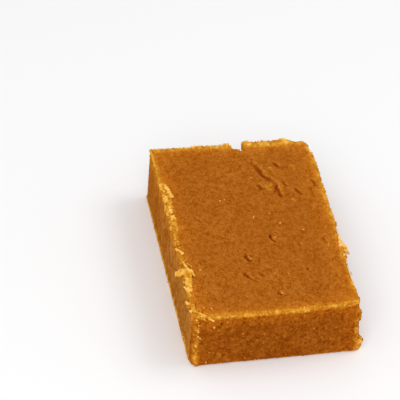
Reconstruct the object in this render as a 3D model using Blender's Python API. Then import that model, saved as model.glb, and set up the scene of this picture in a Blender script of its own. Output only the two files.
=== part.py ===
"""One hand-cut piece of barfi, a dense milk sweet, as a single crumbly slab lying on its flat base.

Metres, +Z up. The origin is the middle of the true slab's base, before its lips and crumbs. The length runs
along Y, and the front end faces -Y.
Grain finer than the facets is left out: the solid holds the uneven cut faces, the lips that the knife
smeared along the arrises, the crumbs caught on them, the dragged tears in the top and the chipped back rim.
"""

import math
import random

import bmesh
import bpy
from mathutils import Euler, Matrix, Vector, noise
from mathutils.geometry import intersect_point_line

MM = 0.001

# The slab as it was cut from the tray.
WIDTH = 32 * MM
LENGTH = 49 * MM
THICKNESS = 12 * MM
UPRIGHT_RADIUS = 0.9 * MM
RIM_RADIUS = 0.3 * MM
BASE_CUT = 0.5 * MM  # sliced off below at the end, which leaves the base flat

# How far the top and the base of each corner stray outwards from a true rectangle, along X and Y, in
# millimetres. A key is the corner's side in X, then in Y.
TOP_STRAY = {(-1, 1): (0.2, 0.2), (1, 1): (0.4, 0.2), (1, -1): (-0.9, -0.4), (-1, -1): (0.0, 0.0)}
BASE_STRAY = {(-1, 1): (0.3, 0.1), (1, 1): (0.2, 0.1), (1, -1): (0.4, 0.7), (-1, -1): (-0.2, 1.4)}

# The top of the front end bows outwards between its corners: places across it and how far it bows there,
# in millimetres. The bow fades towards the base and the back.
FRONT_BOW = ((-16.0, 0.0), (-12.5, 1.1), (3.0, 1.25), (8.0, 0.95), (12.0, 0.75), (16.0, 0.1))
BOW_FADE = 4  # power of the nearness to the front

# Unevenness of the faces: broad waves, and crags about a crumb across.
CELL = 0.85 * MM  # size of the faces' cells
CELL_SLIDE = 0.3  # share of a cell by which its corners slide along the face
SLIDE_PLACES = [Vector((0, 0, 31.7 * axis)) for axis in range(3)]  # where each axis reads the noise
WAVE_LENGTH = 9 * MM
CRAG_LENGTH = 1.6 * MM
CRAG_DETAIL = (0.7, 2.1, 3)  # how fast finer crags shrink, how much finer each layer is, and the layers
TOP_WAVE = 0.12 * MM
TOP_CRAG = 0.09 * MM
SIDE_WAVE = 0.2 * MM
SIDE_CRAG = 0.42 * MM

# Stretches where the knife smeared the paste outwards into a ragged lip. Each has the two ends of its
# middle line on the slab, how wide a strip it moves, and how far it moves it, in millimetres.
SMEARS = {
    "left_burr": ((-16.0, 12.6, 12.0), (-16.0, -1.6, 12.0), 2.2, (-0.25, 0.0, 0.5)),
    "left_burr_tail": ((-16.0, -1.6, 12.0), (-16.0, -9.4, 12.0), 1.2, (-0.2, 0.0, 0.3)),
    "torn_flake": ((-15.8, -11.2, 12.0), (-15.8, -16.4, 12.0), 2.2, (-0.5, 0.0, 0.5)),
    "flake_lobe": ((-16.0, -12.8, 12.0), (-16.0, -14.0, 12.0), 1.5, (-0.9, 0.0, -0.1)),
    "left_fringe": ((-16.0, -17.2, 12.0), (-16.0, -24.0, 12.0), 1.2, (-0.4, 0.0, 0.2)),
    "front_lip": ((-16.0, -24.5, 12.0), (16.0, -24.5, 12.0), 1.1, (0.0, -0.2, 0.35)),
    "right_lip": ((16.0, 24.0, 12.0), (16.0, -24.0, 12.0), 1.0, (0.15, 0.0, 0.25)),
    "right_flake": ((16.0, -7.6, 12.0), (16.0, -11.0, 11.6), 1.3, (0.7, 0.0, 0.0)),
    "front_right_knob": ((15.7, -24.2, 11.0), (15.9, -24.2, 8.6), 1.6, (0.35, -0.1, 0.0)),
    "front_right_foot": ((15.9, -24.2, 2.2), (16.0, -24.2, 0.0), 1.8, (0.6, -0.1, 0.0)),
    "back_left_lip": ((-15.0, 24.5, 12.0), (-0.4, 24.5, 12.0), 1.2, (0.0, 0.15, 0.2)),
    "back_right_lip": ((3.6, 24.5, 12.0), (12.4, 24.5, 12.0), 2.2, (0.0, 0.8, 0.25)),
}
SMEAR_GAP = 1.3 * MM  # length of the breaks that make a lip ragged
SMEAR_SHARE = 0.75  # of its full distance, on the whole
SMEAR_STRAY = 0.9  # by how much of it that varies
SMEAR_STEEPNESS = 1.7  # above 1, a lip is flat for part of its width

# Rows of crumbs caught on those lips: how many, a crumb's length, width and thickness, and how far it
# strays from the smear's middle line along X, Y and Z, in millimetres.
CRUMB_ROWS = {
    "left_burr": (30, (1.6, 1.2, 0.9), (0.8, 0.3, 0.2)),
    "left_burr_tail": (13, (1.2, 0.9, 0.8), (0.3, 0.2, 0.2)),
    "torn_flake": (12, (2.2, 1.7, 0.9), (1.0, 0.3, 0.1)),
    "flake_lobe": (4, (1.6, 1.6, 0.8), (0.4, 0.3, 0.1)),
    "left_fringe": (9, (0.8, 1.6, 0.7), (0.2, 0.3, 0.1)),
    "front_lip": (36, (1.3, 0.9, 0.9), (0.4, 0.2, 0.2)),
    "right_lip": (24, (1.4, 0.9, 0.8), (0.2, 0.6, 0.1)),
    "right_flake": (6, (1.3, 1.2, 1.0), (0.2, 0.2, 0.3)),
    "front_right_knob": (5, (1.2, 1.3, 1.1), (0.2, 0.1, 0.2)),
    "front_right_foot": (4, (1.2, 1.4, 1.2), (0.2, 0.2, 0.1)),
    "back_left_lip": (18, (1.3, 1.0, 0.9), (0.4, 0.2, 0.2)),
    "back_right_lip": (12, (1.7, 1.5, 1.1), (0.4, 0.3, 0.2)),
}
CORNER_STRING = ((-15.6, -24.4, 12.0), (-12.2, -24.8, 10.2))  # crumbs hang here from the front left corner
CORNER_STRING_ROW = (6, (1.0, 0.7, 0.6), (0.1, 0.1, 0.1))
CRUMB_STRAY = 0.28  # share by which a crumb's size and its corners vary
CRUMB_TILT = (0.5, 0.4, 0.6)  # most that it turns from the row's line, in radians
CRUMB_SINK = 0.4 * MM  # least depth of a crumb's middle below the true slab's faces
SIDE_CRUMBS = 44  # coarse crumbs sunk in the four cut faces
SIDE_PITS = 18  # and where others were torn out of them
SIDE_GRAIN = (1.7, 1.4, 1.2)
SIDE_GRAIN_SHARE = (0.55, 1.15)  # least and most share of that size
SIDE_REACH = 0.46  # how far from a face's middle they lie, as a share of its length
SIDE_HEIGHTS = (0.08, 0.9)  # shares of the thickness

# Tears that the knife dragged open in the top: middle, length, width and depth, in millimetres.
TEARS = (
    ((4.7, 15.6), 8.4, 1.0, 0.8),
    ((7.0, 9.3), 4.6, 0.9, 0.7),
    ((3.5, 10.6), 2.2, 0.8, 0.7),
    ((8.2, 17.3), 1.8, 0.8, 0.7),
    ((11.0, 8.0), 3.8, 0.8, 0.6),
    ((2.6, -5.2), 2.6, 1.0, 1.0),
    ((-3.0, -10.5), 2.4, 1.1, 1.0),
    ((-3.6, -15.6), 2.2, 0.8, 0.7),
    ((7.5, -14.8), 1.4, 1.0, 0.8),
    ((0.8, -20.7), 1.8, 0.8, 0.6),
    ((-10.3, 1.8), 2.6, 0.6, 0.5),
    ((-6.7, -3.8), 2.0, 0.6, 0.5),
    ((14.0, 10.2), 2.0, 0.7, 0.5),
    ((7.8, -7.6), 1.5, 0.7, 0.6),
    ((12.8, -6.8), 1.6, 0.7, 0.5),
    ((-7.8, 19.8), 1.8, 0.8, 0.5),
)
TEAR_SLANT = math.radians(18)  # they run from the back left to the front right
TEAR_STRAY = 0.1  # radians

# The chip out of the back rim, at the left end of the overhanging lip.
CHIP_MIDDLE = (1.8, 24.9, 12.2)
CHIP_SIZE = (3.0, 4.8, 6.0)
CHIP_TURN = Euler((math.radians(20), 0, math.radians(28)))

FUSED_TRIANGLES = 9500  # left once the crumbs are fused to the slab
SMOOTH_ANGLE = math.radians(40)
SEED = 7
BARFI_COLOUR = (0.39, 0.115, 0.009, 1)
BARFI_ROUGHNESS = 0.62


def clear_scene():
    for thing in list(bpy.data.objects):
        bpy.data.objects.remove(thing, do_unlink=True)


def collection_named(name):
    made = bpy.data.collections.new(name)
    bpy.context.scene.collection.children.link(made)
    return made


def object_from(shape, name, collection):
    mesh = bpy.data.meshes.new(name)
    shape.to_mesh(mesh)
    shape.free()
    made = bpy.data.objects.new(name, mesh)
    collection.objects.link(made)
    return made


def millimetres(point):
    return Vector(point) * MM


def barfi_material():
    made = bpy.data.materials.new("barfi_paste")
    made.use_nodes = True
    shader = made.node_tree.nodes["Principled BSDF"]
    shader.inputs["Base Color"].default_value = BARFI_COLOUR
    shader.inputs["Roughness"].default_value = BARFI_ROUGHNESS
    shader.inputs["Metallic"].default_value = 0.0
    return made


# ---- the slab ----


def divide(shape, axis, size, start):
    """Cuts every face across one axis into cells of about CELL."""
    cells = round(size / CELL)
    for number in range(1, cells):
        place, normal = Vector((0, 0, 0)), Vector((0, 0, 0))
        place[axis] = start + size * number / cells
        normal[axis] = 1
        everything = shape.verts[:] + shape.edges[:] + shape.faces[:]
        bmesh.ops.bisect_plane(shape, geom=everything, plane_co=place, plane_no=normal)


def rounded_slab():
    """The true slab, too deep by BASE_CUT, with its uprights and top rim rounded and its faces divided."""
    shape = bmesh.new()
    bmesh.ops.create_cube(shape, size=1)
    height = THICKNESS + BASE_CUT
    bmesh.ops.scale(shape, vec=(WIDTH, LENGTH, height), verts=shape.verts)
    bmesh.ops.translate(shape, vec=(0, 0, THICKNESS - height / 2), verts=shape.verts)
    uprights = [edge for edge in shape.edges if abs(edge.verts[0].co.z - edge.verts[1].co.z) > height / 2]
    bmesh.ops.bevel(shape, geom=uprights, offset=UPRIGHT_RADIUS, segments=2, profile=0.5, affect="EDGES")
    rim = [edge for edge in shape.edges if min(vert.co.z for vert in edge.verts) > THICKNESS / 2]
    bmesh.ops.bevel(shape, geom=rim, offset=RIM_RADIUS, segments=1, profile=0.5, affect="EDGES")
    divide(shape, 0, WIDTH, -WIDTH / 2)
    divide(shape, 1, LENGTH, -LENGTH / 2)
    divide(shape, 2, THICKNESS, 0)
    return shape


def front_bow(x):
    """How far the front end bows at a place across it."""
    for (left, left_bow), (right, right_bow) in zip(FRONT_BOW, FRONT_BOW[1:]):
        if x <= right * MM:
            share = max((x / MM - left) / (right - left), 0)
            return (left_bow + (right_bow - left_bow) * share) * MM
    return FRONT_BOW[-1][1] * MM


def hand_cut(point):
    """Where the uneven cuts put a point of the true slab, by its nearness to each corner."""
    across = min(max(point.x / WIDTH + 0.5, 0), 1)
    along = min(max(point.y / LENGTH + 0.5, 0), 1)
    up = min(max(point.z / THICKNESS, 0), 1)
    moved = point.copy()
    for corner, top in TOP_STRAY.items():
        base = BASE_STRAY[corner]
        share = (across if corner[0] > 0 else 1 - across) * (along if corner[1] > 0 else 1 - along)
        for axis in (0, 1):
            moved[axis] += share * corner[axis] * (base[axis] + (top[axis] - base[axis]) * up) * MM
    moved.y -= front_bow(point.x) * up * (1 - along) ** BOW_FADE
    return moved


def unevenness(point, outward):
    """Height of a face at a point. The cut sides have deeper crags than the top."""
    sideways = 1 - abs(outward.z)
    wave = noise.noise(point / WAVE_LENGTH + Vector((3.1, 0, SEED)))
    crag = noise.fractal(point / CRAG_LENGTH + Vector((0, 5.7, SEED)), *CRAG_DETAIL)
    wave_height = TOP_WAVE + (SIDE_WAVE - TOP_WAVE) * sideways
    crag_height = TOP_CRAG + (SIDE_CRAG - TOP_CRAG) * sideways
    return wave * wave_height + crag * crag_height


def smeared(point):
    """How far the knife's smears move a point. A lip breaks off where the noise falls far enough."""
    moved = Vector((0, 0, 0))
    ragged = SMEAR_SHARE + SMEAR_STRAY * noise.noise(point / SMEAR_GAP + Vector((SEED, 0, 0)))
    for start, end, width, push in SMEARS.values():
        start, end = millimetres(start), millimetres(end)
        share = intersect_point_line(point, start, end)[1]
        nearest = start.lerp(end, min(max(share, 0), 1))
        near = 1 - (point - nearest).length / (width * MM)
        if near > 0:
            moved += millimetres(push) * min(SMEAR_STEEPNESS * near, 1) * max(ragged, 0)
    return moved


def roughen(shape):
    """Moves every point of the true slab to where the hand-cut piece has it. The underside stays flat."""
    shape.normal_update()
    moved = []
    for vert in shape.verts:
        outward = vert.normal.copy()
        slide = Vector([noise.noise(vert.co / CELL + place) for place in SLIDE_PLACES]) * CELL * CELL_SLIDE
        slide -= outward * slide.dot(outward)
        rise = outward * unevenness(vert.co, outward) if vert.co.z > -BASE_CUT / 2 else Vector((0, 0, 0))
        moved.append(hand_cut(vert.co) + slide + rise + smeared(vert.co))
    for vert, place in zip(shape.verts, moved):
        vert.co = place


def slab(collection):
    shape = rounded_slab()
    roughen(shape)
    bmesh.ops.triangulate(shape, faces=shape.faces, quad_method="SHORT_EDGE")
    return object_from(shape, "barfi", collection)


# ---- crumbs, tears and the chip ----


def lump(size, place, turn, rng, name, collection):
    """A faceted lump whose corners are pulled in and out. Its size is in millimetres."""
    shape = bmesh.new()
    bmesh.ops.create_icosphere(shape, subdivisions=1, radius=0.5)
    for vert in shape.verts:
        vert.co *= rng.uniform(1 - CRUMB_STRAY, 1 + CRUMB_STRAY)
    stretch = Matrix.Diagonal(millimetres(size)).to_4x4()
    placed = Matrix.Translation(place) @ turn.to_matrix().to_4x4() @ stretch
    bmesh.ops.transform(shape, matrix=placed, verts=shape.verts)
    return object_from(shape, name, collection)


def sunk(place):
    """The nearest point to a place that lies CRUMB_SINK inside the true slab's top and sides."""
    across, along = WIDTH / 2 - CRUMB_SINK, LENGTH / 2 - CRUMB_SINK
    x = min(max(place.x, -across), across)
    y = min(max(place.y, -along), along)
    return Vector((x, y, min(place.z, THICKNESS - CRUMB_SINK)))


def add_crumb_row(name, ends, row, rng, collection):
    start, end = (millimetres(point) for point in ends)
    count, size, stray = row
    along = (end - start).to_track_quat("X", "Z")
    for number in range(count):
        place = start.lerp(end, (number + rng.random()) / count)
        place += millimetres([rng.uniform(-reach, reach) for reach in stray])
        grown = rng.uniform(1 - CRUMB_STRAY, 1 + CRUMB_STRAY)
        turn = Euler([rng.uniform(-tilt, tilt) for tilt in CRUMB_TILT])
        turn.rotate(along)
        place = hand_cut(sunk(place)) + smeared(place)
        lump([side * grown for side in size], place, turn, rng, name, collection)


def add_crumbs(rng, collection):
    for name, row in CRUMB_ROWS.items():
        add_crumb_row(name, SMEARS[name][:2], row, rng, collection)
    add_crumb_row("corner_string", CORNER_STRING, CORNER_STRING_ROW, rng, collection)


def add_side_grains(name, count, rng, collection, depth):
    """Lumps spread evenly over the four cut faces, with their middles at a depth below them."""
    for number in range(count):
        side = rng.choice((-1, 1))
        height = rng.uniform(*SIDE_HEIGHTS) * THICKNESS
        along = rng.uniform(-SIDE_REACH, SIDE_REACH)
        if rng.random() < WIDTH / (WIDTH + LENGTH):
            place = Vector((along * WIDTH, side * (LENGTH / 2 - depth), height))
        else:
            place = Vector((side * (WIDTH / 2 - depth), along * LENGTH, height))
        grown = rng.uniform(*SIDE_GRAIN_SHARE)
        turn = Euler([rng.uniform(0, math.pi) for axis in range(3)])
        lump([side * grown for side in SIDE_GRAIN], hand_cut(place), turn, rng, name, collection)


def add_tears(rng, collection):
    for (x, y), length, width, depth in TEARS:
        turn = Euler((0, 0, TEAR_SLANT + rng.uniform(-TEAR_STRAY, TEAR_STRAY)))
        lump((width, length, 2 * depth), Vector((x * MM, y * MM, THICKNESS)), turn, rng, "tear", collection)


def add_below_base(collection):
    """A block of all that lies below the base."""
    shape = bmesh.new()
    bmesh.ops.create_cube(shape, size=1)
    bmesh.ops.scale(shape, vec=(2 * WIDTH, 2 * LENGTH, THICKNESS), verts=shape.verts)
    bmesh.ops.translate(shape, vec=(0, 0, -THICKNESS / 2), verts=shape.verts)
    object_from(shape, "below_base", collection)


# ---- joining, cutting and finishing ----


def apply_modifiers(piece):
    graph = bpy.context.evaluated_depsgraph_get()
    changed = bpy.data.meshes.new_from_object(piece.evaluated_get(graph))
    piece.modifiers.clear()
    piece.data = changed


def apply_boolean(piece, operation, collection):
    """Joins or cuts the piece with everything in a collection, whose objects are then removed."""
    for helper in collection.objects:
        helper.hide_render = True
        helper.display_type = "WIRE"
    modifier = piece.modifiers.new(operation.title(), "BOOLEAN")
    modifier.operation = operation
    modifier.operand_type = "COLLECTION"
    modifier.collection = collection
    modifier.solver = "MANIFOLD"
    apply_modifiers(piece)
    for helper in list(collection.objects):
        bpy.data.objects.remove(helper, do_unlink=True)


def thin_out(piece, triangles):
    """Merges facets, the flattest first, until about this many triangles are left."""
    modifier = piece.modifiers.new("Thin", "DECIMATE")
    modifier.ratio = triangles / sum(len(face.vertices) - 2 for face in piece.data.polygons)
    apply_modifiers(piece)


def shell_of(face):
    """Every face that can be reached from this one across shared edges."""
    shell, ahead = {face}, [face]
    while ahead:
        neighbours = {other for edge in ahead.pop().edges for other in edge.link_faces}
        ahead.extend(neighbours - shell)
        shell |= neighbours
    return shell


def keep_outer_shell(shape):
    """Drops loose scraps, and the walls of any hollow that was sealed in, which fills it."""
    waiting, largest = set(shape.faces), set()
    while waiting:
        shell = shell_of(next(iter(waiting)))
        waiting -= shell
        largest = max(largest, shell, key=len)
    unwanted = [face for face in shape.faces if face not in largest]
    bmesh.ops.delete(shape, geom=unwanted, context="FACES")


def finish(piece):
    shape = bmesh.new()
    shape.from_mesh(piece.data)
    keep_outer_shell(shape)
    bmesh.ops.triangulate(shape, faces=shape.faces)
    shape.to_mesh(piece.data)
    shape.free()
    piece.data.shade_smooth()
    piece.data.set_sharp_from_angle(angle=SMOOTH_ANGLE)
    piece.data.materials.clear()
    piece.data.materials.append(barfi_material())


def main():
    clear_scene()
    rng = random.Random(SEED)
    parts = collection_named("barfi_parts")
    crumbs = collection_named("crumbs")
    cutters = collection_named("cutters")
    piece = slab(parts)
    add_crumbs(rng, crumbs)
    add_side_grains("side_crumb", SIDE_CRUMBS, rng, crumbs, CRUMB_SINK)
    apply_boolean(piece, "UNION", crumbs)
    thin_out(piece, FUSED_TRIANGLES)
    add_side_grains("side_pit", SIDE_PITS, rng, cutters, 0)
    add_tears(rng, cutters)
    lump(CHIP_SIZE, millimetres(CHIP_MIDDLE), CHIP_TURN, rng, "back_chip", cutters)
    add_below_base(cutters)
    apply_boolean(piece, "DIFFERENCE", cutters)
    finish(piece)


main()
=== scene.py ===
import math
import random
from functools import partial

import bmesh
import bpy
import numpy as np
from mathutils import Euler, Matrix, Vector, kdtree


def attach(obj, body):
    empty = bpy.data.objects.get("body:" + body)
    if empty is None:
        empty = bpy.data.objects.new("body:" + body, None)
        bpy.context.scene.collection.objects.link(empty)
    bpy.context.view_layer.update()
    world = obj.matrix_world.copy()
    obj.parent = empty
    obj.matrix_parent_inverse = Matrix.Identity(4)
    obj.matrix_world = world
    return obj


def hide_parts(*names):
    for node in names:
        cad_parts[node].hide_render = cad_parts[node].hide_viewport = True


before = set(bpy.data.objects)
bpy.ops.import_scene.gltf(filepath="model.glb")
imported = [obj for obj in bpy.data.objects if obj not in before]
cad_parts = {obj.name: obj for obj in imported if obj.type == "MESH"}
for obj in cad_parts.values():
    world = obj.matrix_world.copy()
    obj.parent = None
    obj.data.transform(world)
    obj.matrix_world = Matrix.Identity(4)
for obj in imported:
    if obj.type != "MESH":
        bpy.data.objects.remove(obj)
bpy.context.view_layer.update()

# A hand-cut piece of barfi: a dense slab of milk paste, the crumbs and torn lips along its edges,
# and loose grains on its faces. Metres, +Z up, in the frame of the solids.

mm = 0.001
rng = random.Random(20)


# tools that more than one piece uses

def deselect():
    bpy.ops.object.select_all(action="DESELECT")


def pickOnly(piece):
    deselect()
    piece.select_set(True)
    bpy.context.view_layer.objects.active = piece


def selectPart(piece, kind, belongs):
    # in edit mode: select only the corners or edges that pass the test
    shape = bmesh.from_edit_mesh(piece.data)
    bpy.ops.mesh.select_all(action="DESELECT")
    for part in getattr(shape, kind):
        if belongs(part):
            part.select_set(True)
    shape.select_flush_mode()
    bmesh.update_edit_mesh(piece.data)


def bakePlace():
    # the object made last keeps its shape and place, and its own axes become the scene's
    bpy.ops.object.transform_apply(location=True, rotation=True, scale=True)


def applyAll(piece):
    pickOnly(piece)
    for modifier in list(piece.modifiers):
        bpy.ops.object.modifier_apply(modifier=modifier.name)


def remeshed(piece, voxel):
    modifier = piece.modifiers.new("skin", "REMESH")
    modifier.mode = "VOXEL"
    modifier.voxel_size = voxel
    applyAll(piece)


def cornersOf(piece, what="co"):
    values = np.empty(len(piece.data.vertices) * 3, dtype=np.float32)
    piece.data.vertices.foreach_get(what, values)
    return values.reshape(-1, 3).astype(np.float64)


def normalsOf(piece):
    return cornersOf(piece, "normal")


def moveCorners(piece, places):
    piece.data.vertices.foreach_set("co", places.astype(np.float32).ravel())
    piece.data.update()


def storeValue(piece, name, values):
    layer = piece.data.attributes.new(name, "FLOAT", "POINT")
    layer.data.foreach_set("value", np.asarray(values, dtype=np.float32))


def weighGroup(piece, name, weights, steps=16):
    # a vertex group whose weights go in a few even steps
    group = piece.vertex_groups.new(name=name)
    nearest = np.round(np.clip(weights, 0, 1) * steps).astype(int)
    for step in range(steps + 1):
        group.add(np.nonzero(nearest == step)[0].tolist(), step / steps, "REPLACE")
    return group.name


def smoothStep(low, high, value):
    share = np.clip((value - low) / (high - low), 0, 1)
    return share * share * (3 - 2 * share)


def addRelief(piece, name, kind, size, height, weights=None, depth=2, middle=0.5):
    pattern = bpy.data.textures.new(name, kind)
    pattern.noise_scale = size
    if kind == "CLOUDS":
        pattern.noise_depth = depth
    modifier = piece.modifiers.new(name, "DISPLACE")
    modifier.texture = pattern
    modifier.texture_coords = "LOCAL"
    modifier.strength = height
    modifier.mid_level = middle
    if weights is not None:
        modifier.vertex_group = weighGroup(piece, name, weights)


def makeShapes(number, divisions, reliefs, apart=3):
    # a few irregular crumbs, a metre across, as corners and triangles to copy from: each is roughened at
    # a place of its own, so that no two are alike
    shapes = []
    for count in range(number):
        deselect()
        place = (apart * count, 0, 0)
        bpy.ops.mesh.primitive_ico_sphere_add(subdivisions=divisions, radius=0.5, location=place)
        crumb = bpy.context.object
        bakePlace()
        for name, kind, size, height in reliefs:
            addRelief(crumb, name, kind, size, height)
        applyAll(crumb)
        triangles = np.array([face.vertices[:] for face in crumb.data.polygons])
        shapes.append((cornersOf(crumb) - place, triangles))
        bpy.data.objects.remove(crumb, do_unlink=True)
    return shapes


def copyShapes(name, shapes, placings):
    # one mesh that holds a copy of a shape at every placing
    corners, triangles, start = [], [], 0
    for count, placing in enumerate(placings):
        own, faces = shapes[count % len(shapes)]
        matrix = np.array(placing)
        corners.append(own @ matrix[:3, :3].T + matrix[:3, 3])
        triangles.append(faces + start)
        start += len(own)
    mesh = bpy.data.meshes.new(name)
    mesh.from_pydata(np.concatenate(corners).tolist(), [], np.concatenate(triangles).tolist())
    piece = bpy.data.objects.new(name, mesh)
    bpy.context.scene.collection.objects.link(piece)
    return piece


def joinInto(piece, others):
    pickOnly(piece)
    for other in others:
        other.select_set(True)
    bpy.ops.object.join()


def randomTurn(most=math.pi):
    return Euler([rng.uniform(-most, most) for axis in range(3)]).to_matrix().to_4x4()


def randomStretch():
    return [rng.uniform(0.6, 1.4) for axis in range(3)]


def placing(place, size, turn):
    return Matrix.Translation(place) @ turn @ Matrix.Diagonal(Vector(size)).to_4x4()


# the camera, at the photograph's angle to the piece

photoCamera = {
    "place": (-0.06669, -0.23896, 0.21381),
    "turn": (51.353, -3.637, -10.288),  # degrees
    "lens": 150.0,
    "sensor": 36,
    "nearest": 0.01,
}


def addCamera():
    deselect()
    turn = [math.radians(angle) for angle in photoCamera["turn"]]
    bpy.ops.object.camera_add(location=photoCamera["place"], rotation=turn)
    camera = bpy.context.object
    camera.name = "photoCamera"
    camera.data.lens = photoCamera["lens"]
    camera.data.sensor_width = photoCamera["sensor"]
    camera.data.clip_start = photoCamera["nearest"]
    bpy.context.scene.camera = camera
    print("camera placed")


addCamera()


# the slab's plain form

slab = {
    "size": (32 * mm, 49 * mm, 12 * mm),
    # how far each corner strays outwards in X and Y, at the base and at the top, in mm, by its side in X
    # and Y
    "stray": {
        (-1, 1): ((0.3, 0.1), (0.2, 0.2)),
        (1, 1): ((0.2, 0.1), (0.4, 0.2)),
        (1, -1): ((0.4, 0.7), (-0.9, -0.4)),
        (-1, -1): ((0.0, 1.3), (0.0, 0.0)),
    },
    "uprightRound": 0.9 * mm,
    "frontLeftRound": 1.1 * mm,
    "rimRound": 0.6 * mm,
    "footRound": 0.2 * mm,
    "coarseSkin": 0.4 * mm,
    "fineSkin": 0.17 * mm,
    "triangles": 190000,
    "smearCore": 1.7,  # over 1, the paste near a smear's middle line moves as one
}

# the top of the front end bows outwards between its corners: places across it and how far, in mm
frontBow = {
    "across": (-16.0, -12.5, 3.0, 8.0, 12.0, 16.0),
    "bow": (0.0, 1.1, 1.25, 0.95, 0.75, 0.1),
    "fade": 4,  # power of the nearness to the front
}

# where the knife smeared the paste outwards: ends of the middle line, width of the strip, how far it
# moves, all in mm
smears = {
    "leftBurr": ((-16, 12.6, 12), (-16, -1.6, 12), 2.2, (0, 0, 0.12)),
    "tornFlake": ((-15.8, -11.2, 12), (-15.8, -18.4, 12), 2, (0, 0, 0.08)),
    "frontLip": ((-15.5, -24.5, 11.8), (15.1, -24.1, 11.8), 1.4, (0, -0.15, 0.05)),
    "rightLip": ((16.3, 24, 12), (15.1, -24, 12), 1.3, (0.15, 0, 0.12)),
    "rightBackLip": ((16.4, 20.5, 12), (15.9, -2, 12), 1.3, (0.3, 0, 0)),
    "rightBackPeak": ((16.6, 19.8, 12), (16.5, 12.5, 12), 1.3, (0.26, 0, 0)),
    "rightMidPeak": ((15.9, 0, 12), (15.8, -2.5, 12), 1.2, (0.16, 0, 0)),
    "rightHollow": ((15.4, -13.5, 12), (15.2, -19.5, 12), 1.3, (-0.25, 0, 0)),
    "rightFlake": ((15.8, -7.6, 12), (15.5, -11, 11.6), 1.3, (0.3, 0, 0)),
    "frontRightCorner": ((15, -24.2, 12), (15.1, -24.2, 11.8), 0.9, (0.2, -0.1, 0)),
    "aboveKnob": ((15.1, -24.2, 10.9), (15.1, -24.2, 10.7), 0.9, (-0.25, 0.1, 0)),
    "frontRightKnob": ((15.3, -24.1, 8.9), (15.4, -24.2, 7.7), 1.05, (0.52, 0, 0)),
    "frontRightFoot": ((16.1, -24.6, 2.2), (16.1, -24.7, 1), 1.1, (0.34, 0, 0)),
    "frontRightSpur": ((16.1, -24.6, 2.5), (16.1, -24.6, 2.4), 0.9, (0.45, -0.1, 0)),
    "leftFootBurr": ((-16.3, 23.6, 0.15), (-15.9, -24, 0.15), 0.75, (-0.22, 0, 0)),
    "backLeftLip": ((-15, 24.5, 12), (0, 24.5, 12), 1.2, (0, 0.1, 0.12)),
    "backRightLip": ((3, 24.5, 12), (11.8, 24.5, 12), 2, (0, 0.65, 0.12)),
    "backRightCorner": ((13.5, 24.6, 12), (14.8, 24.6, 12), 1.4, (0.1, 0.1, 0.1)),
    "backRightInset": ((16.6, 24.8, 12.2), (16.6, 24.8, 8), 1.4, (-0.4, -0.3, 0)),
}

# blocks of paste that broke out of the back rim: least and greatest corner, and turn about Z in degrees
backNotch = {
    "blocks": (((0.45, 23.35, 9.6), (2.8, 27.0, 14.0), 3), ((1.85, 22.5, 10.4), (2.75, 27.0, 14.0), -5)),
    "roughSize": 0.9 * mm,
    "roughness": 0.5 * mm,
}


def strayed(places):
    # where the hand's uneven cuts put places of the true slab
    across, along, up = np.clip(places / slab["size"] + (0.5, 0.5, 0), 0, 1).T
    moved = places.copy()
    for corner, (base, top) in slab["stray"].items():
        share = (across if corner[0] > 0 else 1 - across) * (along if corner[1] > 0 else 1 - along)
        for axis in (0, 1):
            moved[:, axis] += share * corner[axis] * (base[axis] + (top[axis] - base[axis]) * up) * mm
    return moved


def bowAt(places):
    nearFront = np.clip(0.5 - places[:, 1] / slab["size"][1], 0, 1) ** frontBow["fade"]
    bow = np.interp(places[:, 0] / mm, frontBow["across"], frontBow["bow"]) * mm
    return bow * nearFront * np.clip(places[:, 2] / slab["size"][2], 0, 1)


def bowed(places, way=1):
    # a way of -1 undoes the bow, near enough for the colours
    moved = places.copy()
    moved[:, 1] -= way * bowAt(places)
    return moved


def isUpright(edge):
    return abs(edge.verts[0].co.z - edge.verts[1].co.z) > slab["size"][2] / 2


def isFrontLeft(edge):
    return all(corner.co.x < 0 and corner.co.y < 0 for corner in edge.verts)


def roundEdges(block, size, segments, belongs):
    selectPart(block, "edges", belongs)
    bpy.ops.mesh.bevel(offset=size, segments=segments, affect="EDGES")


def addSlabBlock():
    thickness = slab["size"][2]
    deselect()
    bpy.ops.mesh.primitive_cube_add(size=1, location=(0, 0, thickness / 2))
    block = bpy.context.object
    block.name = "barfiSlab"
    block.scale = slab["size"]
    bakePlace()
    bpy.ops.object.mode_set(mode="EDIT")
    bpy.ops.mesh.select_mode(type="EDGE")
    roundEdges(block, slab["frontLeftRound"], 5, lambda edge: isUpright(edge) and isFrontLeft(edge))
    roundEdges(block, slab["uprightRound"], 5, lambda edge: isUpright(edge) and not isFrontLeft(edge))
    roundEdges(block, slab["rimRound"], 3,
               lambda edge: min(corner.co.z for corner in edge.verts) > 0.9 * thickness)
    roundEdges(block, slab["footRound"], 2,
               lambda edge: max(corner.co.z for corner in edge.verts) < 0.1 * thickness)
    bpy.ops.object.mode_set(mode="OBJECT")
    remeshed(block, slab["coarseSkin"])
    moveCorners(block, strayed(cornersOf(block)))
    return block


def awayFromLine(places, start, end):
    start, end = np.array(start) * mm, np.array(end) * mm
    run = end - start
    share = np.clip((places - start) @ run / (run @ run), 0, 1)
    return np.linalg.norm(places - start - share[:, None] * run, axis=1)


def smearRims(block):
    # pushes the paste outwards along each smear, strongest on its middle line, and bows the front
    places = cornersOf(block)
    moved = places.copy()
    for start, end, width, push in smears.values():
        near = np.clip(slab["smearCore"] * (1 - awayFromLine(places, start, end) / (width * mm)), 0, 1)
        moved += near[:, None] * np.array(push) * mm
    moveCorners(block, bowed(moved))


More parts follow.
